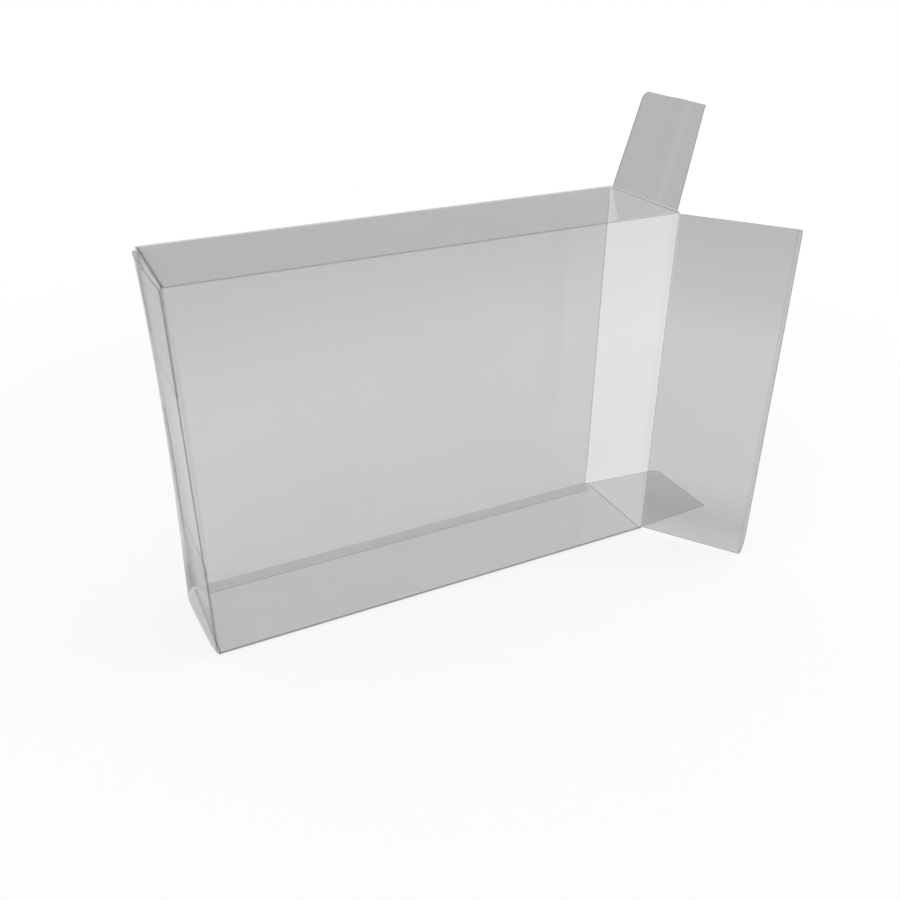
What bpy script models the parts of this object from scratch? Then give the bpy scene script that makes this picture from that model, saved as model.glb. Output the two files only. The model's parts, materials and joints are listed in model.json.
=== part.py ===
"""Clear display box, folded from one die-cut sheet of thin clear film.

A sleeve of four panels is closed by a glue flap that lies on the bottom panel. The left end is shut: two dust
flaps fold in, and a closure flap tucks its tongue behind the back panel. The right end is open: its closure flap
is swung out to the front, its top dust flap stands up and its bottom dust flap lies flat.

+X runs along the sleeve to the open end, +Y to the back and +Z up. The origin is the middle of the underside.
"""

import math

import bmesh
import bpy
import numpy as np

# The sheet, in metres
FILM = 0.0004  # thickness
FOLD_RADIUS = 0.0008  # outer radius of a fold
CREASE_SLOT = 0.00015  # from a turning flap's fold line to the film on each side, beyond half the thickness
CLEARANCE = 0.0003  # between two layers that lie on each other

# The sleeve, outside
SLEEVE_LENGTH = 0.200
SLEEVE_DEPTH = 0.0477
SLEEVE_HEIGHT = 0.150

# The glued seam along the bottom of the back
GLUE_FLAP_WIDTH = 0.0084  # from the back's outer face to the glue flap's free edge
GLUE_FLAP_END = 0.0014  # from the sleeve's end to the glue flap's end, at its fold
GLUE_FLAP_SLANT = 0.002  # how much further in its end is at the free edge
GLUE_LAYER = 0.0001  # thickness of the bead between the two layers
GLUE_MARGIN = 0.0015  # from the glue flap's edges to the bead

# The dust flaps, all four alike
DUST_LENGTH = 0.040
DUST_TAPER_FRONT = 0.0017  # how far the side by the closure's hinge comes in
DUST_TAPER_BACK = 0.0044  # how far the side by the tongue comes in
DUST_CORNER = 0.0035  # radius of the free corner by the tongue

# The closure flaps, both alike
CLOSURE_HEAD_GAP = 0.0009  # from the top of the sleeve to the panel's upper edge
CLOSURE_FOOT_GAP = 0.001  # from the floor to its lower edge
TONGUE_LENGTH = 0.0075
TONGUE_INSET = 0.001  # how far the tongue's ends are set in from the panel's
TONGUE_CORNER = 0.004

# The belly of the closed flap, which its springy dust flaps press out
BELLY_FOOT = 0.0036  # its depth at the foot
BELLY_HEAD = 0.0018  # at the head
BELLY_WAIST = 0.0003  # and where it is least, above the middle
FOOT_FADE = 1.6  # power by which it fades upwards from the foot
HEAD_FADE = 5.0  # and downwards from the head
HINGE_RISE = 0.55  # power of the way along by which it rises from the hinge
TONGUE_DROP = 16  # and by which it drops to the tongue
DRAWN_IN = 0.0013  # how far the tongue's fold is drawn in at mid-height
DRAWN_POWER = 6  # power of the way along by which that grows

# How the open flaps stand, in degrees
CLOSURE_SWING = 54.35  # right closure flap, from +X to the front
TOP_DUST_LIFT = 77.43  # right top dust flap, above +X

# How finely curves are divided
FOLD_STEPS = 4
CORNER_STEPS = 5
PANEL_ROWS = 22

# Places that follow from the sizes
LEFT_END = -SLEEVE_LENGTH / 2
RIGHT_END = SLEEVE_LENGTH / 2
FRONT = -SLEEVE_DEPTH / 2
BACK = SLEEVE_DEPTH / 2
HALF = FILM / 2
BEND = FOLD_RADIUS - HALF  # radius of a fold at mid-thickness
CREASE = HALF + CREASE_SLOT  # from a turning flap's fold line to the edge on each side
GLUE_MID = FILM + GLUE_LAYER + HALF  # height of the glue flap's mid-thickness

HINGE_Y = FRONT + HALF  # the closure flaps turn at mid-thickness of the front panel
HINGE_OUT = SLEEVE_LENGTH / 2 + CREASE  # distance of their fold lines from the middle
DUST_OUT = HINGE_OUT - HALF - CLEARANCE - HALF  # the dust flaps close just inside the closure panel

TONGUE_REACH = TONGUE_LENGTH + DRAWN_IN  # deepest point of the tongue behind its hinge line
SWING_RADIUS = BACK - FILM - CLEARANCE - HINGE_Y  # the tongue's tip must pass inside the back panel
CLOSURE_LENGTH = math.sqrt(SWING_RADIUS**2 - TONGUE_REACH**2)  # from the hinge to the tongue's outer face

DUST_FRONT = FRONT + FOLD_RADIUS + CLEARANCE
DUST_BACK = HINGE_Y + CLOSURE_LENGTH - FILM - 2 * CLEARANCE


def clear_scene():
    """Remove what the file opened with."""
    for ob in list(bpy.data.objects):
        bpy.data.objects.remove(ob, do_unlink=True)


def film_material(name, shade):
    """A thin, smooth, clear plastic of a given grey."""
    mat = bpy.data.materials.new(name)
    mat.use_nodes = True
    bsdf = mat.node_tree.nodes["Principled BSDF"]
    bsdf.inputs["Base Color"].default_value = (shade, shade, shade, 1)
    bsdf.inputs["Roughness"].default_value = 0.06
    bsdf.inputs["Metallic"].default_value = 0.0
    bsdf.inputs["IOR"].default_value = 1.57
    bsdf.inputs["Alpha"].default_value = 0.3
    return mat


def arc(centre, radius, start, stop, steps=FOLD_STEPS):
    """Points of a circular arc between two angles in degrees, ends included."""
    angles = np.radians(np.linspace(start, stop, steps + 1))
    return [(centre[0] + radius * math.cos(a), centre[1] + radius * math.sin(a)) for a in angles]


def thicken(ob):
    """Give a surface the film's thickness, half to each side."""
    mod = ob.modifiers.new("film thickness", "SOLIDIFY")
    mod.thickness = FILM
    mod.offset = 0.0
    mod.use_even_offset = True
    mod.use_quality_normals = True


def surface_object(name, bm, shade):
    """A named object with its own material from a bmesh surface of film at mid-thickness."""
    bmesh.ops.recalc_face_normals(bm, faces=bm.faces)
    mesh = bpy.data.meshes.new(name)
    bm.to_mesh(mesh)
    bm.free()
    mesh.materials.append(film_material(name, shade))
    ob = bpy.data.objects.new(name, mesh)
    bpy.context.scene.collection.objects.link(ob)
    thicken(ob)
    return ob


def add_rows(bm, rows):
    """Faces between rows of points or vertices, one vertex for each point. Returns the vertices by row."""
    grid = [[p if isinstance(p, bmesh.types.BMVert) else bm.verts.new(p) for p in row] for row in rows]
    for low, high in zip(grid, grid[1:]):
        for i in range(len(low) - 1):
            bm.faces.new((low[i], low[i + 1], high[i + 1], high[i]))
    return grid


def dust_sides(distance):
    """Front and back edge of a dust flap at a distance from its fold: straight tapers, one round corner."""
    share = distance / DUST_LENGTH
    past = max(0.0, distance - (DUST_LENGTH - DUST_CORNER))
    rounding = DUST_CORNER - math.sqrt(max(0.0, DUST_CORNER**2 - past**2))
    return DUST_FRONT + DUST_TAPER_FRONT * share, DUST_BACK - DUST_TAPER_BACK * share - rounding


def dust_rows(start):
    """Distances from the fold at which a dust flap has a row of points, closer together round its corner."""
    corner = DUST_LENGTH - DUST_CORNER
    turn = [corner + DUST_CORNER * math.sin(math.radians(a)) for a in np.linspace(0, 90, CORNER_STEPS + 1)]
    return [start, (start + corner) / 2] + turn


def section():
    """The sheet's path round the sleeve at mid-thickness, seen from the right: the (y, z) points in runs.

    It starts at the bottom panel's free edge, by the back, and ends at the glue flap's free edge above it.
    """
    seam_height = GLUE_MID + BEND
    low, high = FOLD_RADIUS, SLEEVE_HEIGHT - FOLD_RADIUS
    near, far = FRONT + FOLD_RADIUS, BACK - FOLD_RADIUS
    return {
        "bottom": [(far, HALF), (DUST_BACK, HALF), (DUST_FRONT, HALF)],
        "front": arc((near, low), BEND, 270, 180) + arc((near, high), BEND, 180, 90),
        "top": [(DUST_FRONT, SLEEVE_HEIGHT - HALF), (DUST_BACK, SLEEVE_HEIGHT - HALF)],
        "back": arc((far, high), BEND, 90, 0) + arc((far, seam_height), BEND, 0, -90)[:-1],
        "glue": [(far, GLUE_MID), (BACK - GLUE_FLAP_WIDTH, GLUE_MID)],
    }


def end_insets(run, index):
    """How far a point of the section stops short of the sleeve's left and right ends."""
    if run == "glue":
        inset = GLUE_FLAP_END + GLUE_FLAP_SLANT * index
        return inset, inset
    if run == "top" or (run == "bottom" and index > 0):
        fold = SLEEVE_LENGTH / 2 - DUST_OUT
        return fold + BEND, fold + CREASE
    return (FOLD_RADIUS + FILM, FOLD_RADIUS + FILM) if run == "bottom" else (0.0, 0.0)


def left_dust_flap(bm, base, floor_side):
    """A dust flap of the shut end: it leaves the panel's edge by a round fold and hangs or stands behind it."""
    direction = 1 if floor_side else -1
    plane = -DUST_OUT
    edge = HALF if floor_side else SLEEVE_HEIGHT - HALF
    rows = [base]
    for turn in np.radians(np.linspace(0, 90, FOLD_STEPS + 1))[1:]:
        x = plane + BEND - BEND * math.sin(turn)
        z = edge + direction * BEND * (1 - math.cos(turn))
        rows.append([(x, vert.co.y, z) for vert in base])
    for distance in dust_rows(FOLD_RADIUS)[1:]:
        z = edge + direction * (distance - HALF)
        rows.append([(plane, y, z) for y in dust_sides(distance)])
    add_rows(bm, rows)


def glue_bead():
    """The bead that joins the glue flap to the bottom panel, a hair into each."""
    slack = GLUE_FLAP_END + GLUE_FLAP_SLANT + GLUE_MARGIN
    low = (LEFT_END + slack, BACK - GLUE_FLAP_WIDTH + GLUE_MARGIN, FILM - GLUE_LAYER)
    high = (RIGHT_END - slack, BACK - FOLD_RADIUS - GLUE_MARGIN, FILM + 2 * GLUE_LAYER)
    bm = bmesh.new()
    bmesh.ops.create_cube(bm, size=1.0)
    for vert in bm.verts:
        vert.co = [high[i] if vert.co[i] > 0 else low[i] for i in range(3)]
    mesh = bpy.data.meshes.new("glue_bead")
    bm.to_mesh(mesh)
    bm.free()
    ob = bpy.data.objects.new("glue_bead", mesh)
    bpy.context.scene.collection.objects.link(ob)
    ob.hide_render = True
    ob.display_type = "WIRE"
    return ob


def sleeve():
    """Four panels, the glued seam and the two dust flaps of the shut end, as one sheet."""
    bm = bmesh.new()
    left, right = [], []
    flap_bases = {"bottom": [], "top": []}
    for run, points in section().items():
        for index, (y, z) in enumerate(points):
            short_left, short_right = end_insets(run, index)
            left.append(bm.verts.new((LEFT_END + short_left, y, z)))
            right.append((RIGHT_END - short_right, y, z))
            if run in flap_bases and y in (DUST_FRONT, DUST_BACK):
                flap_bases[run].append(left[-1])
    add_rows(bm, [left, right])
    left_dust_flap(bm, sorted(flap_bases["bottom"], key=lambda v: v.co.y), floor_side=True)
    left_dust_flap(bm, sorted(flap_bases["top"], key=lambda v: v.co.y), floor_side=False)
    ob = surface_object("sleeve", bm, 0.80)
    join = ob.modifiers.new("glued seam", "BOOLEAN")
    join.operation = "UNION"
    join.solver = "EXACT"
    join.object = glue_bead()
    return ob


def bow(along, height):
    """How far the shut closure panel stands out at a place, from its hinge (0) to its tongue (1).

    The belly rises steeply from the hinge and drops to the tongue. It is deep at the foot, less at the head
    and least above the middle. The tongue's fold is drawn in between its two ends.
    """
    rise = height / SLEEVE_HEIGHT
    foot = (BELLY_FOOT - BELLY_WAIST) * (1 - rise) ** FOOT_FADE
    head = (BELLY_HEAD - BELLY_WAIST) * rise**HEAD_FADE
    belly = (BELLY_WAIST + foot + head) * along**HINGE_RISE * (1 - along**TONGUE_DROP)
    return belly - DRAWN_IN * math.sin(math.pi * rise) * along**DRAWN_POWER


def closure_profile():
    """The closure flap's path from its hinge, at mid-thickness: (along the panel, inward) for each row.

    The panel's rows are closer together at its two ends, where its belly is steep.
    """
    fold = CLOSURE_LENGTH - FOLD_RADIUS
    spread = (1 - np.cos(np.linspace(0, math.pi, PANEL_ROWS))) / 2
    panel = [(CREASE + (fold - CREASE) * s, 0.0) for s in spread]
    turn = [(fold + s, BEND - c) for c, s in arc((0, 0), BEND, 0, 90)][1:]
    end = TONGUE_LENGTH - TONGUE_CORNER
    corner = [end + TONGUE_CORNER * math.sin(math.radians(a)) for a in np.linspace(0, 90, CORNER_STEPS + 1)]
    return panel, turn + [(turn[-1][0], inward) for inward in corner]


def closure_ends(inward):
    """Lower and upper edge of the closure flap, from its panel (0) to the round-cornered end of its tongue."""
    low, high = CLOSURE_FOOT_GAP, SLEEVE_HEIGHT - CLOSURE_HEAD_GAP
    inset = TONGUE_INSET * min(1.0, inward / FOLD_RADIUS)
    past = max(0.0, inward - (TONGUE_LENGTH - TONGUE_CORNER))
    inset += TONGUE_CORNER - math.sqrt(max(0.0, TONGUE_CORNER**2 - past**2))
    return low + inset, high - inset


def closure_flap(name, side, bowed, rows_up):
    """A closure flap in its shut position, hinged on the front panel's edge. side is -1 left, 1 right."""
    bm = bmesh.new()
    panel, tongue = closure_profile()
    rows = []
    for along, inward in panel + tongue:
        low, high = closure_ends(inward)
        share = min(1.0, (along - CREASE) / (CLOSURE_LENGTH - CREASE))
        row = []
        for height in np.linspace(low, high, rows_up + 1):
            out = bow(share, height) if bowed else 0.0
            row.append((side * (out - inward), along, height))
        rows.append(row)
    add_rows(bm, rows)
    ob = surface_object(name, bm, 0.78)
    ob.location = (side * HINGE_OUT, HINGE_Y, 0)
    return ob


def right_dust_flap(name, height, lift):
    """A dust flap of the open end, which turns about its fold line. lift is its angle above +X in degrees."""
    bm = bmesh.new()
    add_rows(bm, [[(distance, y, 0) for y in dust_sides(distance)] for distance in dust_rows(CREASE)])
    ob = surface_object(name, bm, 0.76)
    ob.location = (DUST_OUT, 0, height)
    ob.rotation_euler = (0, -math.radians(lift), 0)
    return ob


def build():
    """The whole box, each piece in the pose it is kept in."""
    clear_scene()
    sleeve()
    closure_flap("left_closure_flap", -1, bowed=True, rows_up=30)
    opened = closure_flap("right_closure_flap", 1, bowed=False, rows_up=1)
    opened.rotation_euler = (0, 0, -math.radians(90 + CLOSURE_SWING))
    right_dust_flap("right_top_dust_flap", SLEEVE_HEIGHT - HALF, TOP_DUST_LIFT)
    right_dust_flap("right_bottom_dust_flap", HALF, 0)


build()
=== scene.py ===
import json
import math

import bpy
import numpy as np
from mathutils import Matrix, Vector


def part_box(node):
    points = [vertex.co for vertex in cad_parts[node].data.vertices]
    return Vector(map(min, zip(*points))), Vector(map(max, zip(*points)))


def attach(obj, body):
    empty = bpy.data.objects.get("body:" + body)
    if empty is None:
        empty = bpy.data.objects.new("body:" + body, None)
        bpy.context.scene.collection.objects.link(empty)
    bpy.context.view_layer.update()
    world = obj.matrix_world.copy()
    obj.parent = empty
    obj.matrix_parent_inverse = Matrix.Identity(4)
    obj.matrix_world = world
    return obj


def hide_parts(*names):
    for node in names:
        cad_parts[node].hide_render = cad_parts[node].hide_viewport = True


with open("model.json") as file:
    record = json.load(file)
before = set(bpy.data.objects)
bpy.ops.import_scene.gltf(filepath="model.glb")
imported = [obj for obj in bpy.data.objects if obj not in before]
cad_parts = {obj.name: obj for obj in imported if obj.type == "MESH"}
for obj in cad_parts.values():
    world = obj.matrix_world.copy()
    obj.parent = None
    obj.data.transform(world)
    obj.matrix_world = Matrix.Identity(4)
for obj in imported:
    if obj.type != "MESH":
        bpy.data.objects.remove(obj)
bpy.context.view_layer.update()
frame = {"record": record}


# Sleeve: one sheet of clear film, folded into four panels round an open inside, with the two dust flaps of
# the shut end turned in. The sheet is die-cut, scored where it folds and bonded along the foot of its back.

sleeve_low, sleeve_high = (np.array(corner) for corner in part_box("sleeve"))
floor_flap_low, floor_flap_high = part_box("right_bottom_dust_flap")
FILM = floor_flap_high[2] - floor_flap_low[2]
HALF = FILM / 2
LENGTH, HEIGHT = (sleeve_high - sleeve_low)[[0, 2]]
FOLD_RADIUS = 0.0008
BEND = FOLD_RADIUS - HALF
CREASE_SLOT = 0.00015
CREASE = HALF + CREASE_SLOT
CLEARANCE = 0.0003
joints = {joint["name"]: joint for joint in frame["record"]["behaviour"]["joints"]}
hinge_y = joints["right_closure_fold"]["pos_m"][1]
dust_out = joints["right_top_dust_fold"]["pos_m"][0]

FOLD_STEPS = 8
PANEL_STEPS = 16
LENGTH_STEPS = 40
DUST_STEPS = 25
SHARP_ANGLE = math.radians(45)
NO_LENGTH = 1e-20

GLUE_FLAP_WIDTH = 0.0084
GLUE_FLAP_END = 0.0014
GLUE_FLAP_SLANT = 0.002
GLUE_LAYER = 0.0001

WALL_CLEAR = 0.885
# Lower shares at the walls' head and on the top panel are painted shade, darker towards the top.
HEAD_PAINTED_SHADE_CLEAR = 0.846
HEAD_SHADE_FROM = 0.65
TOP_PAINTED_SHADE_CLEAR = 0.745
FLOOR_CLEAR = 0.86
GLUE_CLEAR = 0.945
SHUT_DUST_CLEAR = 0.985
SHUT_DUST_SHADE = 0.87
SHUT_DUST_FADE = 0.008
STRONG_FOLD = 0.75
FRONT_FOLD = 0.55
FOLD_FADE = 0.0003
SOFT_FOLD = 0.28
FAINT_FOLD = 0.05
FREE_EDGE = 0.7
SEAM_EDGE = 0.3
FAINT_EDGE = 0.1
EDGE_COLUMN = 0.0003

CREASE_SHADE = 0.2
GLOSS_SHARE = 0.35
GLOSS_LEAST = 0.03
GLOSS_RISE = 4.0
GLOSS_ROUGH = (0.03, 0.09)
GLOSS_NOISE = {"Scale": 40.0, "Detail": 2.0}
HAZE = (0.99, 1.0)
HAZE_NOISE = {"Scale": 28.0, "Detail": 3.0}
EDGE_SHADE = 0.14
EDGE_ROUGH = (0.2, 0.45)
EDGE_NOISE = {"Scale": 900.0, "Detail": 2.0}
EDGE_PASSED = 0.9
FILM_IOR = 1.5

# Numbers of a colour mix node's sockets: its share, its two colours and its result.
MIX_SHARE, MIX_FROM, MIX_TO, MIX_RESULT = 0, 6, 7, 2

DUST_LENGTH = floor_flap_high[0] - dust_out
DUST_FRONT, DUST_BACK = floor_flap_low[1], floor_flap_high[1]
DUST_TAPER_FRONT = 0.0017
DUST_TAPER_BACK = 0.0044
DUST_CORNER = 0.0035


def arc(centre, radius, start, stop, steps=FOLD_STEPS):
    """Points of a circular arc: the centre plus the radius times cosine and sine of even angles."""
    angles = np.radians(np.linspace(start, stop, steps + 1))
    return np.array(centre) + radius * np.stack([np.cos(angles), np.sin(angles)], axis=1)


def line(start, stop, steps):
    """Points evenly spaced from start to stop, both left out."""
    share = np.linspace(0, 1, steps + 1)[1:-1, None]
    return np.array(start) * (1 - share) + np.array(stop) * share


def grid_faces(numbers):
    """Quads between neighbouring points, from a table of point numbers in rows and columns."""
    corners = [numbers[:-1, :-1], numbers[:-1, 1:], numbers[1:, 1:], numbers[1:, :-1]]
    return np.stack(corners, axis=-1).reshape(-1, 4)


def point_normals(points, faces):
    """The unit mean of each point's face normals. A face's normal is the cross product of its diagonals."""
    corners = points[faces]
    across = np.cross(corners[:, 2] - corners[:, 0], corners[:, 3] - corners[:, 1])
    across /= np.linalg.norm(across, axis=1, keepdims=True) + NO_LENGTH
    total = np.zeros_like(points)
    for corner in range(4):
        np.add.at(total, faces[:, corner], across)
    return total / (np.linalg.norm(total, axis=1, keepdims=True) + NO_LENGTH)


def rim_edges(faces):
    """The edges that only one quad has, each in that quad's own direction."""
    edges = np.concatenate([faces[:, [i, (i + 1) % 4]] for i in range(4)])
    _, first, count = np.unique(np.sort(edges, axis=1), axis=0, return_index=True, return_counts=True)
    return edges[first[count == 1]]


def store(mesh, label, values):
    """Keep one number for each of the mesh's points under a label that the materials read."""
    mesh.attributes.new(label, "FLOAT", "POINT").data.foreach_set("value", np.asarray(values, np.float32))


def film_piece(name, points, faces, fold, clear, edge, joined, body, materials):
    """A closed sheet: the surface moved half the film's thickness each way along its normals, and a rim.

    fold is up to 1 on a scored fold and 0 on a flat panel. clear is the share of light that each face
    passes, with painted shade and a painted reflection on some pieces, and edge how dark the cut edge is.
    joined marks the points where the sheet runs on into the next piece: the rim has no cut edge there.
    """
    normals = point_normals(points, faces)
    count = len(points)
    both = np.concatenate([points + normals * HALF, points - normals * HALF])
    rim = rim_edges(faces)
    walls = np.stack([rim[:, 1], rim[:, 0], rim[:, 0] + count, rim[:, 1] + count], axis=1)
    every = np.concatenate([faces, faces[:, ::-1] + count, walls])
    cut = np.zeros(len(every), dtype=np.int32)
    cut[2 * len(faces):] = 1
    cut[2 * len(faces):][joined[rim].all(axis=1)] = 0
    mesh = bpy.data.meshes.new(name)
    mesh.from_pydata(both.tolist(), [], every.tolist())
    mesh.polygons.foreach_set("material_index", cut)
    for label, values in (("fold", fold), ("clear", clear), ("edge", edge)):
        store(mesh, label, np.tile(values, 2))
    for material in materials:
        mesh.materials.append(material)
    mesh.shade_smooth()
    mesh.set_sharp_from_angle(angle=SHARP_ANGLE)
    piece = bpy.data.objects.new(name, mesh)
    bpy.context.scene.collection.objects.link(piece)
    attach(piece, body)
    return piece


def node_tree(name):
    """A new material with no nodes yet, and short ways to add its nodes and to link them."""
    material = bpy.data.materials.new(name)
    material.use_nodes = True
    tree = material.node_tree
    tree.nodes.clear()

    def add(kind, **settings):
        """A new node of a kind, with the inputs and settings that are named given their values."""
        node = tree.nodes.new(kind)
        for key, value in settings.items():
            if key in node.inputs:
                node.inputs[key].default_value = value
            else:
                setattr(node, key, value)
        return node

    return material, add, tree.links.new


def noise_between(add, link, noise, span):
    """A soft noise in the piece's own coordinates, spread between two values. Returns its output."""
    place = add("ShaderNodeTexCoord")
    texture = add("ShaderNodeTexNoise", **noise)
    link(place.outputs["Object"], texture.inputs["Vector"])
    spread = add("ShaderNodeMapRange")
    spread.inputs["To Min"].default_value, spread.inputs["To Max"].default_value = span
    link(texture.outputs["Fac"], spread.inputs["Value"])
    return spread.outputs[0]


def clear_film(name, crease, gloss_share):
    """Thin clear plastic. Each face lets a share of light through and mirrors a little more at a slant.

    The share is the mesh's own value for the panel, painted shade and a painted reflection included, less a
    little for haze, a soft noise, and it falls to crease along scored folds. The mirrored share rises to
    gloss_share with a power of the slant, and a second noise makes the gloss slightly uneven.
    """
    material, add, link = node_tree(name)
    passed = add("ShaderNodeAttribute", attribute_name="clear")
    share = add("ShaderNodeMath", operation="MULTIPLY")
    link(passed.outputs["Fac"], share.inputs[0])
    link(noise_between(add, link, HAZE_NOISE, HAZE), share.inputs[1])
    score = add("ShaderNodeAttribute", attribute_name="fold")
    tint = add("ShaderNodeMix", data_type="RGBA")
    tint.inputs[MIX_TO].default_value = (crease, crease, crease, 1)
    link(score.outputs["Fac"], tint.inputs[MIX_SHARE])
    link(share.outputs[0], tint.inputs[MIX_FROM])
    through = add("ShaderNodeBsdfTransparent")
    link(tint.outputs[MIX_RESULT], through.inputs["Color"])

    gloss = add("ShaderNodeBsdfGlossy")
    gloss.inputs["Color"].default_value = (1, 1, 1, 1)
    link(noise_between(add, link, GLOSS_NOISE, GLOSS_ROUGH), gloss.inputs["Roughness"])

    slant = add("ShaderNodeLayerWeight", Blend=0.5)
    steep = add("ShaderNodeMath", operation="POWER")
    link(slant.outputs["Facing"], steep.inputs[0])
    steep.inputs[1].default_value = GLOSS_RISE
    mirror = add("ShaderNodeMapRange")
    mirror.inputs["To Min"].default_value = GLOSS_LEAST
    mirror.inputs["To Max"].default_value = gloss_share
    link(steep.outputs[0], mirror.inputs["Value"])
    surface = add("ShaderNodeMixShader")
    link(mirror.outputs[0], surface.inputs[0])
    link(through.outputs[0], surface.inputs[1])
    link(gloss.outputs[0], surface.inputs[2])
    out = add("ShaderNodeOutputMaterial")
    link(surface.outputs[0], out.inputs["Surface"])
    return material


def cut_edge(name, shade):
    """The film's cut edge: light that runs inside the sheet leaves there, so it reads as a thin grey line.

    The mesh's own value says how much of it is grey, the rest lets light through, and a fine noise roughens
    the grey share.
    """
    material, add, link = node_tree(name)
    bsdf = add("ShaderNodeBsdfPrincipled", IOR=FILM_IOR)
    bsdf.inputs["Base Color"].default_value = (shade, shade, shade, 1)
    link(noise_between(add, link, EDGE_NOISE, EDGE_ROUGH), bsdf.inputs["Roughness"])
    through = add("ShaderNodeBsdfTransparent")
    through.inputs["Color"].default_value = (EDGE_PASSED, EDGE_PASSED, EDGE_PASSED, 1)
    dark = add("ShaderNodeAttribute", attribute_name="edge")
    surface = add("ShaderNodeMixShader")
    link(dark.outputs["Fac"], surface.inputs[0])
    link(through.outputs[0], surface.inputs[1])
    link(bsdf.outputs[0], surface.inputs[2])
    out = add("ShaderNodeOutputMaterial")
    link(surface.outputs[0], out.inputs["Surface"])
    return material


def dust_sides(distance):
    """Front and back edge of a dust flap at distances from its fold: straight tapers and one round corner.

    The corner is a quarter circle. It draws the back edge in by its radius, less the root of the radius
    squared less the square of the way past its start.
    """
    share = distance / DUST_LENGTH
    past = np.clip(distance - (DUST_LENGTH - DUST_CORNER), 0, DUST_CORNER)
    rounding = DUST_CORNER - np.sqrt(DUST_CORNER**2 - past**2)
    return DUST_FRONT + DUST_TAPER_FRONT * share, DUST_BACK - DUST_TAPER_BACK * share - rounding


def dust_rows(start):
    """Distances from the fold where a dust flap has points: even, then closer together round its corner."""
    corner = DUST_LENGTH - DUST_CORNER
    turn = corner + DUST_CORNER * np.sin(np.radians(np.linspace(0, 90, FOLD_STEPS + 1)))
    return np.concatenate([np.linspace(start, corner, DUST_STEPS)[:-1], turn])


def wall_clear_and_painted_shade(height):
    """Share of light that a wall passes: constant up to a height, then a smooth step down to the head as
    painted shade.

    The step is the square of the way up it, times three less twice that way.
    """
    rise = np.clip((height / HEIGHT - HEAD_SHADE_FROM) / (1 - HEAD_SHADE_FROM), 0, 1)
    return WALL_CLEAR + (HEAD_PAINTED_SHADE_CLEAR - WALL_CLEAR) * rise**2 * (3 - 2 * rise)


def sleeve_path():
    """The sheet's way round the sleeve at mid-thickness, from the bottom's free edge to the glue flap's.

    Returns the (y, z) points, how far each stops short of the left and right ends, how much each is fold,
    how much light it passes, less at the head and on the top panel as painted shade, and how dark its cut
    edge is.
    """
    near, far = sleeve_low[1] + FOLD_RADIUS, sleeve_high[1] - FOLD_RADIUS
    low, high = FOLD_RADIUS, HEIGHT - FOLD_RADIUS
    glue_height = FILM + GLUE_LAYER + HALF
    turned_in = LENGTH / 2 - dust_out
    flap_ends = (turned_in + BEND, turned_in + CREASE)
    glue_slant = GLUE_FLAP_END + GLUE_FLAP_SLANT
    bump = np.sin(np.radians(np.linspace(0, 180, FOLD_STEPS + 1)))
    panel_y = np.linspace(DUST_BACK, DUST_FRONT, PANEL_STEPS + 1)
    bottom = np.stack([panel_y, np.full(len(panel_y), HALF)], axis=1)
    top = np.stack([panel_y[::-1], np.full(len(panel_y), HEIGHT - HALF)], axis=1)
    front = line((near - BEND, low + FOLD_FADE), (near - BEND, high), PANEL_STEPS)
    front = np.concatenate([[(near - BEND, low + FOLD_FADE)], front])
    back = line((far + BEND, high), (far + BEND, glue_height + BEND), PANEL_STEPS)
    seam_turn = arc((far, glue_height + BEND), BEND, 0, -90)[:-1]
    glue_root = np.array([[far, glue_height]])
    glue_free = np.array([[sleeve_high[1] - GLUE_FLAP_WIDTH, glue_height]])
    flush = (0.0, 0.0)
    runs = [
        (np.array([[far, HALF]]), (FOLD_RADIUS + FILM,) * 2, 0.0, FLOOR_CLEAR, FAINT_EDGE),
        (bottom, flap_ends, 0.0, FLOOR_CLEAR, FREE_EDGE),
        (arc((near, low), BEND, 270, 180), flush, FRONT_FOLD, WALL_CLEAR, FREE_EDGE),
        (front, flush, 0.0, wall_clear_and_painted_shade(front[:, 1]), FREE_EDGE),
        (arc((near, high), BEND, 180, 90), flush, bump * SOFT_FOLD, HEAD_PAINTED_SHADE_CLEAR, FREE_EDGE),
        (top, flap_ends, 0.0, TOP_PAINTED_SHADE_CLEAR, FREE_EDGE),
        (arc((far, high), BEND, 90, 0), flush, bump * FAINT_FOLD, HEAD_PAINTED_SHADE_CLEAR, FAINT_EDGE),
        (back, flush, 0.0, wall_clear_and_painted_shade(back[:, 1]), FREE_EDGE),
        (seam_turn, flush, bump[:-1] * FAINT_FOLD, WALL_CLEAR, SEAM_EDGE),
        (glue_root, (GLUE_FLAP_END,) * 2, 0.0, GLUE_CLEAR, SEAM_EDGE),
        (glue_free, (glue_slant,) * 2, 0.0, GLUE_CLEAR, SEAM_EDGE),
    ]
    path = np.concatenate([run[0] for run in runs])
    ends = np.concatenate([np.tile(run[1], (len(run[0]), 1)) for run in runs])
    fold, clear, edge = (np.concatenate([np.broadcast_to(run[part], len(run[0])) for run in runs])
                         for part in (2, 3, 4))
    return path, ends, fold, clear, edge


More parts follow.
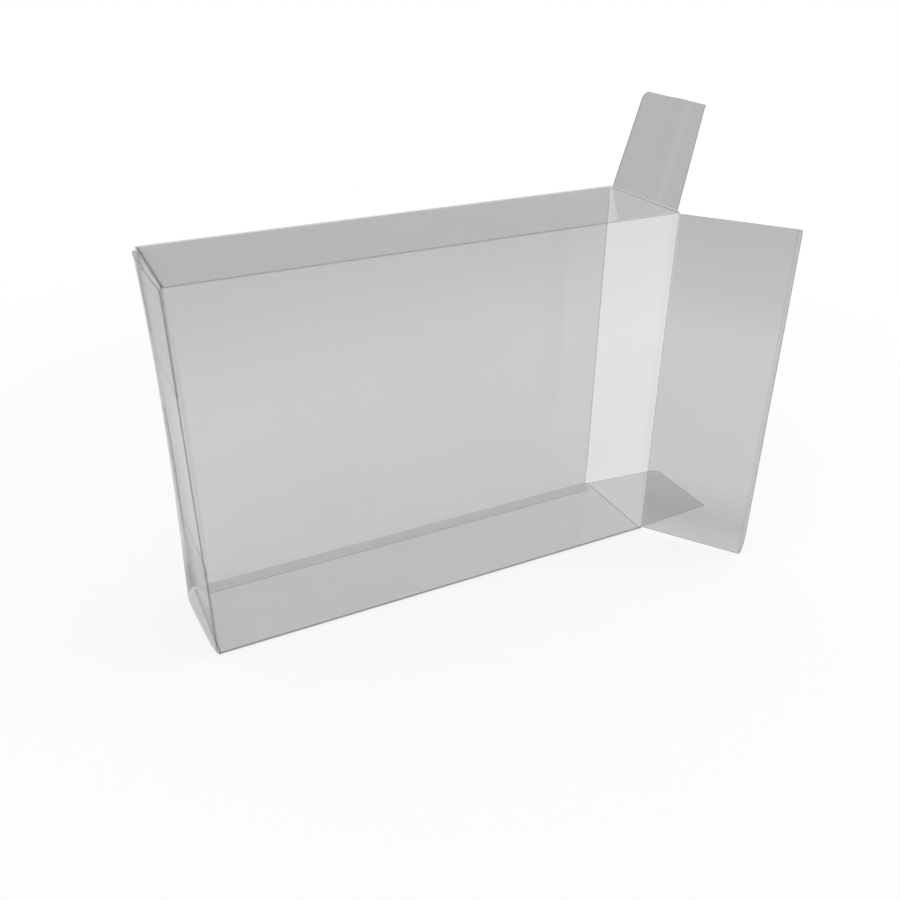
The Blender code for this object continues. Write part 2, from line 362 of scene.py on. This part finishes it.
def turned_in_flap(points, base, floor_side):
    """A dust flap of the shut end: a quarter circle from the panel's edge, then the tapered flap upright.

    base holds the numbers of the panel's edge points. Returns the new points, how much each is fold, the
    share of light it passes, which is lower near the fold, and the new faces.
    """
    direction = 1 if floor_side else -1
    edge = HALF if floor_side else HEIGHT - HALF
    turn = np.radians(np.linspace(0, 90, FOLD_STEPS + 1))[1:, None]
    side = points[base, 1]
    arc_size = (len(turn), len(base))
    arc_x = -dust_out + BEND * (1 - np.sin(turn))
    arc_z = edge + direction * BEND * (1 - np.cos(turn))
    arc_rows = np.stack([np.broadcast_to(value, arc_size) for value in (arc_x, side, arc_z)], axis=2)
    distance = dust_rows(FOLD_RADIUS)[1:]
    flap_front, flap_back = dust_sides(distance)
    across = (side - DUST_FRONT) / (DUST_BACK - DUST_FRONT)
    flap_size = (len(distance), len(base))
    flap_y = flap_front[:, None] + (flap_back - flap_front)[:, None] * across
    flap_z = edge + direction * (distance - HALF)[:, None]
    flap_parts = (-dust_out, flap_y, flap_z)
    flap_rows = np.stack([np.broadcast_to(value, flap_size) for value in flap_parts], axis=2)
    new = np.concatenate([arc_rows, flap_rows]).reshape(-1, 3)
    numbers = np.concatenate([base[None], len(points) + np.arange(len(new)).reshape(-1, len(base))])
    faces = grid_faces(numbers if floor_side else numbers[:, ::-1])
    turn_fold = STRONG_FOLD * np.repeat(np.sin(2 * turn), len(base))
    fold = np.concatenate([turn_fold, np.zeros(flap_rows.size // 3)])
    far_off = np.clip(distance / SHUT_DUST_FADE, 0, 1)
    flap_clear = SHUT_DUST_SHADE + (SHUT_DUST_CLEAR - SHUT_DUST_SHADE) * far_off
    clear = np.repeat(np.concatenate([np.full(len(turn), SHUT_DUST_SHADE), flap_clear]), len(base))
    return new, fold, clear, faces


path, ends, path_fold, path_clear, path_edge = sleeve_path()
share = np.concatenate([[0, EDGE_COLUMN / LENGTH], np.linspace(0, 1, LENGTH_STEPS + 1)[1:-1],
                        [1 - EDGE_COLUMN / LENGTH, 1]])
left = sleeve_low[0] + ends[:, :1]
right = sleeve_high[0] - ends[:, 1:]
along = left + (right - left) * share
wrap = np.stack([along, *(np.repeat(path[:, part:part + 1], len(share), 1) for part in (0, 1))], axis=2)
wrap_numbers = np.arange(wrap.size // 3).reshape(wrap.shape[:2])
sleeve_points = wrap.reshape(-1, 3)
sleeve_fold = np.repeat(path_fold, len(share))
sleeve_clear = np.repeat(path_clear, len(share))
sleeve_edge = np.repeat(path_edge, len(share))
level = np.isclose(ends[:, 0], LENGTH / 2 - dust_out + BEND)
upright_front = np.isclose(path[:, 0], sleeve_low[1] + HALF)
joined = np.zeros(wrap.shape[:2], dtype=bool)
joined[np.ix_(level | upright_front, [0, -1])] = True

lower_base = wrap_numbers[level & (path[:, 1] < HEIGHT / 2), 0]
upper_base = wrap_numbers[level & (path[:, 1] > HEIGHT / 2), 0]
sleeve_faces = [grid_faces(wrap_numbers)]
for base, floor_side in ((lower_base[::-1], True), (upper_base, False)):
    new_points, new_fold, new_clear, new_faces = turned_in_flap(sleeve_points, base, floor_side)
    sleeve_points = np.concatenate([sleeve_points, new_points])
    sleeve_fold = np.concatenate([sleeve_fold, new_fold])
    sleeve_clear = np.concatenate([sleeve_clear, new_clear])
    sleeve_edge = np.concatenate([sleeve_edge, np.full(len(new_fold), SEAM_EDGE)])
    sleeve_faces.append(new_faces)
joined = np.concatenate([joined.ravel(), np.zeros(len(sleeve_points) - joined.size, dtype=bool)])

clear_plastic = clear_film("clear plastic", CREASE_SHADE, GLOSS_SHARE)
film_edge = cut_edge("film edge", EDGE_SHADE)
sleeve = film_piece("sleeve_film", sleeve_points, np.concatenate(sleeve_faces), sleeve_fold, sleeve_clear,
                    sleeve_edge, joined, "box", [clear_plastic, film_edge])
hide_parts("sleeve")


# Seam glue: a thin clear layer between the glue flap and the bottom panel, a hair into each. It is run on
# flat and pressed, and it stops short of the glue flap's edges.

GLUE_MARGIN = 0.0015
GLUE_PASSED = 0.995
GLUE_GLOSS = 0.1

glue_slack = GLUE_FLAP_END + GLUE_FLAP_SLANT + GLUE_MARGIN
glue_x = (sleeve_low[0] + glue_slack, sleeve_high[0] - glue_slack)
glue_y = (sleeve_high[1] - GLUE_FLAP_WIDTH + GLUE_MARGIN, sleeve_high[1] - FOLD_RADIUS - GLUE_MARGIN)
glue_z = (FILM - GLUE_LAYER, FILM + 2 * GLUE_LAYER)
glue_corners = [(x, y, z) for z in glue_z for y in glue_y for x in glue_x]
glue_faces = [(0, 2, 3, 1), (4, 5, 7, 6), (0, 1, 5, 4), (2, 6, 7, 3), (0, 4, 6, 2), (1, 3, 7, 5)]
glue_mesh = bpy.data.meshes.new("seam_glue")
glue_mesh.from_pydata(glue_corners, [], glue_faces)
glue_mesh.materials.append(clear_film("clear glue", CREASE_SHADE, GLUE_GLOSS))
for label, value in (("fold", 0.0), ("clear", GLUE_PASSED)):
    store(glue_mesh, label, [value] * len(glue_corners))
seam_glue = bpy.data.objects.new("seam_glue", glue_mesh)
bpy.context.scene.collection.objects.link(seam_glue)
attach(seam_glue, "box")


# Crease beads: where a flap can turn, the scored film is squeezed to a thin round bead along the fold line.
# They are of the film itself, pressed by the scoring rule, and each fills the slot between panel and flap.

BEAD_RADIUS = 0.00025
BEAD_SIDES = 12
BEAD_STEPS = 40
BEAD_FOLD = 0.25


def crease_bead(name, centres, radius, fold, body):
    """A thin rod along a row of centres, with a circle round each one and both ends closed by a point.

    A circle's points are the radius times cosine and sine of their angle, along two directions across the
    rod. fold is how dark the rod is, one value or one for each centre.
    """
    way = (centres[-1] - centres[0]) / np.linalg.norm(centres[-1] - centres[0])
    across = np.cross(way, (1.0, 0.0, 0.0))
    across /= np.linalg.norm(across)
    other = np.cross(way, across)
    angle = np.linspace(0, 2 * math.pi, BEAD_SIDES, endpoint=False)
    ring = radius * (np.cos(angle)[:, None] * across + np.sin(angle)[:, None] * other)
    rings = (centres[:, None] + ring[None]).reshape(-1, 3)
    numbers = np.arange(len(rings)).reshape(-1, BEAD_SIDES)
    numbers = np.concatenate([numbers, numbers[:, :1]], axis=1)
    faces = grid_faces(numbers)[:, ::-1].tolist()
    first, last = len(rings), len(rings) + 1
    faces += [(first, int(b), int(a)) for a, b in zip(numbers[0, :-1], numbers[0, 1:])]
    faces += [(last, int(a), int(b)) for a, b in zip(numbers[-1, :-1], numbers[-1, 1:])]
    mesh = bpy.data.meshes.new(name)
    mesh.from_pydata([*rings.tolist(), centres[0].tolist(), centres[-1].tolist()], [], faces)
    fold = np.broadcast_to(fold, len(centres))
    fold = np.concatenate([np.repeat(fold, BEAD_SIDES), fold[[0, -1]]])
    store(mesh, "fold", fold)
    store(mesh, "clear", np.full(len(fold), WALL_CLEAR))
    mesh.materials.append(clear_plastic)
    mesh.shade_smooth()
    mesh.set_sharp_from_angle(angle=SHARP_ANGLE)
    bead = bpy.data.objects.new(name, mesh)
    bpy.context.scene.collection.objects.link(bead)
    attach(bead, body)
    return bead


shut_flap_low, shut_flap_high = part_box("left_closure_flap")
steps = np.linspace(0, 1, BEAD_STEPS + 1)[:, None]
for name, side in (("left_closure_crease", -1), ("right_closure_crease", 1)):
    foot = np.array([side * joints["right_closure_fold"]["pos_m"][0], hinge_y, shut_flap_low[2]])
    head = np.array([foot[0], hinge_y, shut_flap_high[2]])
    bead = crease_bead(name, foot + (head - foot) * steps, BEAD_RADIUS, BEAD_FOLD, "box")
for name, height, radius in (("top_dust_crease", HEIGHT - HALF, BEAD_RADIUS),
                             ("bottom_dust_crease", HALF, HALF)):
    front_end = np.array([dust_out, DUST_FRONT, height])
    back_end = np.array([dust_out, DUST_BACK, height])
    bead = crease_bead(name, front_end + (back_end - front_end) * steps, radius, BEAD_FOLD, "box")


# Left closure flap: the panel that shuts the left end, of the same film, scored to the front panel's edge.
# Its tongue is tucked inside the back panel, and the springy dust flaps under it press it out into a bow.

CLOSURE_HEAD_GAP = 0.0009
CLOSURE_FOOT_GAP = 0.001
TONGUE_LENGTH = 0.0075
TONGUE_INSET = 0.001
TONGUE_CORNER = 0.004
HEIGHT_STEPS = 60
BELLY_FOOT = 0.0036
BELLY_HEAD = 0.0018
BELLY_WAIST = 0.0003
FOOT_FADE = 1.6
HEAD_FADE = 5.0
HINGE_RISE = 0.55
TONGUE_DROP = 16
DRAWN_IN = 0.0013
DRAWN_POWER = 6
PANEL_ROWS = 44
CREASE_WIDTH = 0.0002

swing_radius = sleeve_high[1] - FILM - CLEARANCE - hinge_y
closure_length = math.sqrt(swing_radius**2 - (TONGUE_LENGTH + DRAWN_IN) ** 2)


def bow(along, height):
    """How far the shut panel stands out at a share of the way along it and a height.

    The belly's depth is the waist's, plus what the foot has more times a power of the way down, plus what
    the head has more times a power of the way up. It is multiplied by a power of the way along, which rises
    from the hinge, and by one less another power of it, which drops to the tongue. Taken off is what the
    tongue's fold is drawn in: a half sine of the height, times its own power of the way along.
    """
    rise = height / HEIGHT
    foot = (BELLY_FOOT - BELLY_WAIST) * (1 - rise) ** FOOT_FADE
    head = (BELLY_HEAD - BELLY_WAIST) * rise**HEAD_FADE
    belly = (BELLY_WAIST + foot + head) * along**HINGE_RISE * (1 - along**TONGUE_DROP)
    return belly - DRAWN_IN * np.sin(math.pi * rise) * along**DRAWN_POWER


def closure_sheet(side, bowed):
    """A shut closure flap at mid-thickness: straight from its hinge, a quarter circle, then its tongue.

    Each row's ends follow the panel's edges, the tongue's inset and its round corners. Returns the points
    and how much each is fold, in rows across the flap. On the panel that is a bell curve of the distance
    from the tongue's fold, and round the fold it falls evenly to nothing.
    """
    fold_at = closure_length - FOLD_RADIUS
    spread = (1 - np.cos(np.linspace(0, math.pi, PANEL_ROWS))) / 2
    panel = np.stack([CREASE + (fold_at - CREASE) * spread, np.zeros(PANEL_ROWS)], axis=1)
    turn = arc((0, 0), BEND, 0, 90)[1:, ::-1] * (1, -1) + (fold_at, BEND)
    start = TONGUE_LENGTH - TONGUE_CORNER
    reach = start + TONGUE_CORNER * np.sin(np.radians(np.linspace(0, 90, FOLD_STEPS + 1)))
    tongue = np.stack([np.full(len(reach), turn[-1, 0]), reach], axis=1)
    profile = np.concatenate([panel, turn, tongue])
    score = np.exp(-(((panel[:, 0] - fold_at) / CREASE_WIDTH) ** 2))
    bump = np.concatenate([score, np.linspace(1, 0, FOLD_STEPS + 1)[1:], np.zeros(len(reach))])
    inward = profile[:, 1]
    past = np.clip(inward - start, 0, TONGUE_CORNER)
    inset = TONGUE_INSET * np.clip(inward / FOLD_RADIUS, 0, 1)
    inset += TONGUE_CORNER - np.sqrt(TONGUE_CORNER**2 - past**2)
    low, high = CLOSURE_FOOT_GAP + inset, HEIGHT - CLOSURE_HEAD_GAP - inset
    height = low[:, None] + (high - low)[:, None] * np.linspace(0, 1, HEIGHT_STEPS + 1)
    along = np.repeat(profile[:, :1], HEIGHT_STEPS + 1, 1)
    share = np.clip((along - CREASE) / (closure_length - CREASE), 0, 1)
    out = bow(share, height) if bowed else np.zeros_like(height)
    points = np.stack([side * (out - inward[:, None]), along, height], axis=2)
    return points, np.repeat(bump[:, None], HEIGHT_STEPS + 1, 1)


def turned(points, axis, degrees):
    """Points turned about an axis through the origin by the right-hand rule: 1 is Y, 2 is Z."""
    c, s = math.cos(math.radians(degrees)), math.sin(math.radians(degrees))
    about_y = [[c, 0, s], [0, 1, 0], [-s, 0, c]]
    about_z = [[c, -s, 0], [s, c, 0], [0, 0, 1]]
    return points @ np.array(about_y if axis == 1 else about_z).T


def flap_piece(name, points, fold, clear, edge, hinge, body):
    """A turning flap from its rows of points about its hinge. Its first row runs on into a crease bead."""
    numbers = np.arange(fold.size).reshape(fold.shape)
    joined = np.zeros(fold.shape, dtype=bool)
    joined[0] = True
    clear, edge = (np.broadcast_to(value, fold.shape).ravel() for value in (clear, edge))
    return film_piece(name, points.reshape(-1, 3) + hinge, grid_faces(numbers), fold.ravel(), clear, edge,
                      joined.ravel(), body, [clear_plastic, film_edge])


# The shut flap's share of light by height is painted shade: darker at the foot and towards the head.
SHUT_HEIGHTS = (0.0, 0.12, 0.2, 0.4, 0.6, 0.85, 1.0)
SHUT_PAINTED_SHADE_CLEAR = (0.715, 0.735, 0.84, 0.85, 0.86, 0.825, 0.81)
SHUT_EDGE = (0.1, 0.1, 0.2, 0.3, 0.4, 0.6, 0.6)
TONGUE_CLEAR = 0.97
CREASE_HEIGHTS = (0.0, 0.02, 0.08, 0.10, 0.20, 0.21, 0.58, 0.59, 0.78, 0.79, 0.94, 0.97)
CREASE_SHARE = (0.0, 0.6, 0.6, 0.0, 0.0, 0.75, 0.75, 0.0, 0.0, 0.75, 0.75, 0.0)
TURN_FOLD = 0.1
TONGUE_BEAD_RADIUS = 0.00034
TONGUE_BEAD_STEPS = 120

shut_points, shut_fold = closure_sheet(-1, bowed=True)
shut_rise = shut_points[..., 2] / HEIGHT
shut_clear_and_painted_shade = np.interp(shut_rise, SHUT_HEIGHTS, SHUT_PAINTED_SHADE_CLEAR)
shut_edge = np.interp(shut_rise, SHUT_HEIGHTS, SHUT_EDGE)
shut_clear_and_painted_shade[PANEL_ROWS + FOLD_STEPS:] = TONGUE_CLEAR
shut_edge[PANEL_ROWS:] = FAINT_EDGE
shut_hinge = np.array(joints["left_closure_fold"]["pos_m"]) * (1, 1, 0)
shut_flap = flap_piece("left_closure_film", shut_points, shut_fold * TURN_FOLD, shut_clear_and_painted_shade, shut_edge,
                       shut_hinge, "left_closure")
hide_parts("left_closure_flap")

# The tongue's bead lies along the middle of its fold's turn, half the film's thickness further out.
turn_row = shut_points[PANEL_ROWS + FOLD_STEPS // 2 - 1]
bulge = turn_row - (shut_points[PANEL_ROWS - 1] + shut_points[PANEL_ROWS + FOLD_STEPS - 1]) / 2
turn_row = turn_row + bulge * (HALF / np.linalg.norm(bulge[:, :2], axis=1, keepdims=True)) * (1, 1, 0)
bead_rise = np.linspace(turn_row[0, 2], turn_row[-1, 2], TONGUE_BEAD_STEPS + 1)
bead_line = np.stack([np.interp(bead_rise, turn_row[:, 2], turn_row[:, axis]) for axis in range(3)], axis=1)
bead_fold = np.interp(bead_rise / HEIGHT, CREASE_HEIGHTS, CREASE_SHARE)
tongue_bead = crease_bead("tongue_crease", bead_line + shut_hinge, TONGUE_BEAD_RADIUS, bead_fold,
                          "left_closure")


# Right closure flap: the same panel of the same film at the open end, scored to the front panel's other
# edge. It is swung out to the front, with its tongue still folded over.

# The open flap's share of light by height is painted shade: darker low down and towards the head.
OPEN_HEIGHTS = (0.0, 0.1, 0.23, 0.67, 0.8, 1.0)
OPEN_PAINTED_SHADE_CLEAR = (0.77, 0.71, 0.77, 0.77, 0.725, 0.69)
OPEN_TONGUE_CLEAR = 0.68
OPEN_FOLD = 0.08

right_joint = joints["right_closure_fold"]
open_points, open_fold = closure_sheet(1, bowed=False)
open_clear_and_painted_shade = np.interp(open_points[..., 2] / HEIGHT, OPEN_HEIGHTS, OPEN_PAINTED_SHADE_CLEAR)
open_clear_and_painted_shade[PANEL_ROWS + FOLD_STEPS:] = OPEN_TONGUE_CLEAR
open_points = turned(open_points, 2, -right_joint["range_deg"][1])
open_flap = flap_piece("right_closure_film", open_points, open_fold * OPEN_FOLD, open_clear_and_painted_shade, FREE_EDGE,
                       np.array(right_joint["pos_m"]) * (1, 1, 0), "right_closure")
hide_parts("right_closure_flap")


# Right dust flaps: two short tapered flaps of the same film, scored to the top and bottom panels. The top
# one stands up with a slight hollow along its front side, and the bottom one lies on the floor.

HOLLOW = 0.0012
HOLLOW_AT = 0.28
HOLLOW_WIDTH = 0.16
ACROSS_STEPS = 24


def dust_sheet(hollow):
    """A dust flap along +X from its fold at mid-thickness, in rows across it.

    The hollow sinks the flap by a bell curve of the share across, growing with the distance from the fold.
    Returns the points and how much each is fold, which is nothing.
    """
    distance = dust_rows(CREASE)
    front, back = dust_sides(distance)
    across = np.linspace(0, 1, ACROSS_STEPS + 1)
    y = front[:, None] + (back - front)[:, None] * across
    bell = np.exp(-(((across - HOLLOW_AT) / HOLLOW_WIDTH) ** 2))
    sink = hollow * bell * (distance / DUST_LENGTH)[:, None]
    return np.stack([np.repeat(distance[:, None], len(across), 1), y, -sink], axis=2), np.zeros(y.shape)


# The standing flap's low share of light is painted shade, and a thin band along its hollow passes more as a
# painted reflection.
STANDING_PAINTED_SHADE_CLEAR = 0.671
HOLLOW_PAINTED_REFLECTION = 0.02
PAINTED_REFLECTION_WIDTH = 0.05
LYING_CLEAR = 0.89

top_joint = joints["right_top_dust_fold"]
top_points, top_fold = dust_sheet(HOLLOW)
across = np.linspace(0, 1, ACROSS_STEPS + 1)
top_clear_and_painted_light = STANDING_PAINTED_SHADE_CLEAR + HOLLOW_PAINTED_REFLECTION * np.exp(-(((across - HOLLOW_AT) / PAINTED_REFLECTION_WIDTH) ** 2))
top_points = turned(top_points, 1, 90 - top_joint["range_deg"][1])
standing = flap_piece("right_top_dust_film", top_points, top_fold, top_clear_and_painted_light, FREE_EDGE,
                      np.array(top_joint["pos_m"]) * (1, 0, 1), "right_top_dust")
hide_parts("right_top_dust_flap")

floor_points, floor_fold = dust_sheet(0.0)
lying = flap_piece("right_bottom_dust_film", floor_points, floor_fold, LYING_CLEAR, SEAM_EDGE,
                   np.array(joints["right_bottom_dust_fold"]["pos_m"]) * (1, 0, 1), "right_bottom_dust")
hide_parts("right_bottom_dust_flap")


# Camera: at the photograph's own viewing angle, with no roll and a plain lens. Its place is set by its two
# angles, its distance from the box's base, and a small shift to the right and up that fits the photograph.

AZIMUTH = math.radians(-25.859)
ELEVATION = math.radians(29.474)
LENS_MM = 37.12
SENSOR_MM = 36.0
DISTANCE = 0.41856
SHIFT_RIGHT = 0.01034
SHIFT_UP = 0.04801

camera_right = np.array([math.cos(AZIMUTH), math.sin(AZIMUTH), 0.0])
camera_back = np.array([math.sin(AZIMUTH) * math.cos(ELEVATION), -math.cos(AZIMUTH) * math.cos(ELEVATION),
                        math.sin(ELEVATION)])
camera_up = np.cross(camera_back, camera_right)
camera_data = bpy.data.cameras.new("camera")
camera_data.lens = LENS_MM
camera_data.sensor_width = SENSOR_MM
camera = bpy.data.objects.new("camera", camera_data)
camera.location = camera_right * SHIFT_RIGHT + camera_up * SHIFT_UP + camera_back * DISTANCE
camera.rotation_euler = (math.pi / 2 - ELEVATION, 0, AZIMUTH)
bpy.context.scene.collection.objects.link(camera)
bpy.context.scene.camera = camera


# Floor and light: a plain white floor that keeps the box's soft shadow, an even white surround and two soft
# lamps. The floor is partly its own glow, and past the box it fades into the surround, with no horizon.

FLOOR_REACH = 4.0
FLOOR_DROP = 0.0003
SHADOW_SHARE = 0.3
FADE_START = 0.2
FADE_END = 0.5
FLOOR_WHITE = 0.9
AIR_STRENGTH = 0.8
FILM_LAYERS = 32

floor_mesh = bpy.data.meshes.new("floor")
floor_corners = [(x * FLOOR_REACH, y * FLOOR_REACH, 0) for x, y in ((-1, -1), (1, -1), (1, 1), (-1, 1))]
floor_mesh.from_pydata(floor_corners, [], [(0, 1, 2, 3)])
floor = bpy.data.objects.new("floor", floor_mesh)
floor.location.z = -FLOOR_DROP
floor_paint, add, link = node_tree("floor paint")
away = add("ShaderNodeVectorMath", operation="LENGTH")
link(add("ShaderNodeTexCoord").outputs["Object"], away.inputs[0])
fade = add("ShaderNodeMapRange", interpolation_type="SMOOTHSTEP")
fade.inputs["From Min"].default_value = FADE_START
fade.inputs["From Max"].default_value = FADE_END
fade.inputs["To Min"].default_value = SHADOW_SHARE
fade.inputs["To Max"].default_value = 0.0
link(away.outputs["Value"], fade.inputs["Value"])
floor_rays = add("ShaderNodeLightPath")
lit = add("ShaderNodeMath", operation="MAXIMUM")
link(floor_rays.outputs["Is Diffuse Ray"], lit.inputs[0])
link(fade.outputs[0], lit.inputs[1])
glow = add("ShaderNodeEmission")
glow.inputs["Color"].default_value = (1, 1, 1, 1)
paint = add("ShaderNodeBsdfDiffuse")
paint.inputs["Color"].default_value = (FLOOR_WHITE, FLOOR_WHITE, FLOOR_WHITE, 1)
floor_mix = add("ShaderNodeMixShader")
link(lit.outputs[0], floor_mix.inputs[0])
link(glow.outputs[0], floor_mix.inputs[1])
link(paint.outputs[0], floor_mix.inputs[2])
link(floor_mix.outputs[0], add("ShaderNodeOutputMaterial").inputs["Surface"])
floor_mesh.materials.append(floor_paint)
bpy.context.scene.collection.objects.link(floor)

world = bpy.data.worlds.new("surround")
bpy.context.scene.world = world
world.use_nodes = True
sky = world.node_tree
sky.nodes.clear()
rays = sky.nodes.new("ShaderNodeLightPath")
level = sky.nodes.new("ShaderNodeMix")
level.inputs["A"].default_value = 1.0
level.inputs["B"].default_value = AIR_STRENGTH
sky.links.new(rays.outputs["Is Diffuse Ray"], level.inputs["Factor"])
air = sky.nodes.new("ShaderNodeBackground")
air.inputs["Color"].default_value = (1, 1, 1, 1)
sky.links.new(level.outputs["Result"], air.inputs["Strength"])
sky.links.new(air.outputs[0], sky.nodes.new("ShaderNodeOutputWorld").inputs["Surface"])

for name, place, size, watts in (("left softbox", (-0.6, -0.5, 0.9), 0.6, 3.0),
                                 ("right softbox", (0.8, -0.2, 0.7), 0.5, 2.0)):
    lamp_data = bpy.data.lights.new(name, "AREA")
    lamp_data.size = size
    lamp_data.energy = watts
    lamp = bpy.data.objects.new(name, lamp_data)
    lamp.location = place
    aim = np.array([0, 0, HEIGHT / 2]) - np.array(place)
    lamp.rotation_euler = (math.atan2(math.hypot(aim[0], aim[1]), -aim[2]), 0, math.atan2(-aim[0], aim[1]))
    bpy.context.scene.collection.objects.link(lamp)

bpy.context.scene.view_settings.view_transform = "Standard"
bpy.context.scene.cycles.transparent_max_bounces = FILM_LAYERS
